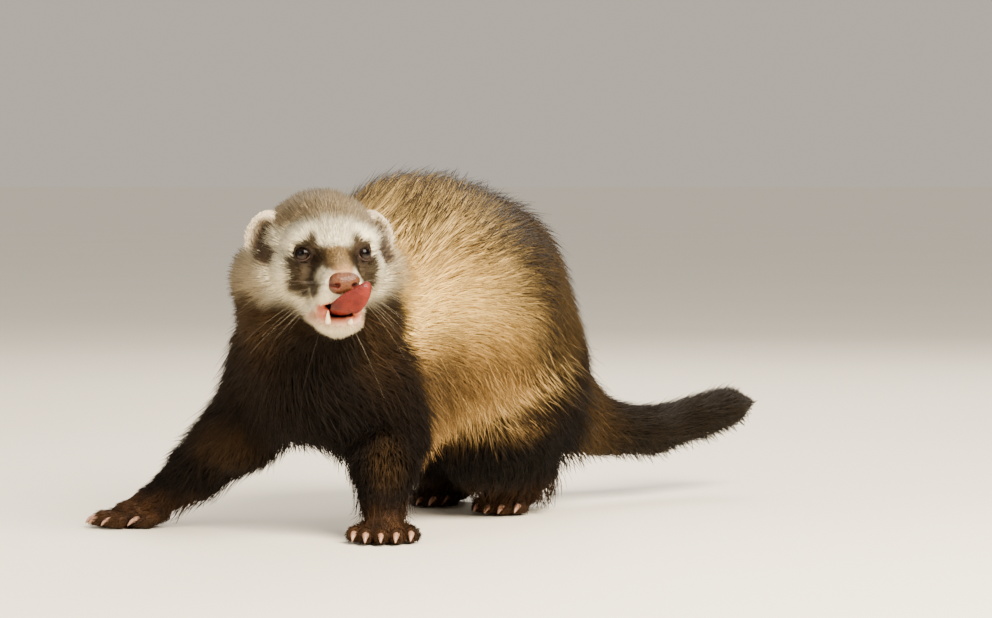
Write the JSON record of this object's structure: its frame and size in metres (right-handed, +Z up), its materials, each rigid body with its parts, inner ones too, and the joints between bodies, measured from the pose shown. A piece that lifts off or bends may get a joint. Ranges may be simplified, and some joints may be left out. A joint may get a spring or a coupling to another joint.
{
  "type": "ferret",
  "caption": "Life-size ferret, braced on a wide-set right foreleg with its back arched, head raised, mouth open, tongue curled up beside the nose and tail straight out.",
  "frame": {"origin": "middle of the bounding box seen from above, on the floor that the paws stand on", "axes": "+X to the animal's left and towards its tail, along the longest side; -Y the way the chest and face look; +Z up"},
  "size_m": [0.3106, 0.2814, 0.1559],
  "materials": {
    "coat_face": "short cream-white fur with a brown mask and cap",
    "coat_cream": "cream to amber undercoat under dark-tipped guard hairs",
    "coat_brown": "dark brown fur",
    "coat_black": "near-black brown fur",
    "paw": "very short brown fur with pale claws",
    "ear": "thin skin, white-furred rim, brown hair inside",
    "eye": "wet and glossy, very dark brown",
    "nose": "moist, finely pebbled pink-brown leather",
    "tongue": "wet, satin pink-red"
  },
  "bodies": {
    "root": {"chest": "coat_black", "ear_left": "ear", "ear_right": "ear", "eye_left": "eye", "eye_right": "eye", "forearm_left": "coat_black", "forearm_right": "coat_black", "forepaw_left": "paw", "forepaw_right": "paw", "head": "coat_face", "hind_foot_left": "paw", "hind_foot_right": "paw", "hind_leg_left": "coat_black", "hind_leg_right": "coat_black", "lower_jaw": "coat_face", "muzzle": "coat_face", "neck": "coat_brown", "nose": "nose", "rump": "coat_cream", "tail_base": "coat_brown", "tail_tip": "coat_black", "tongue": "tongue", "trunk": "coat_cream", "upper_arm_left": "coat_black", "upper_arm_right": "coat_black"}
  },
  "joints": []
}
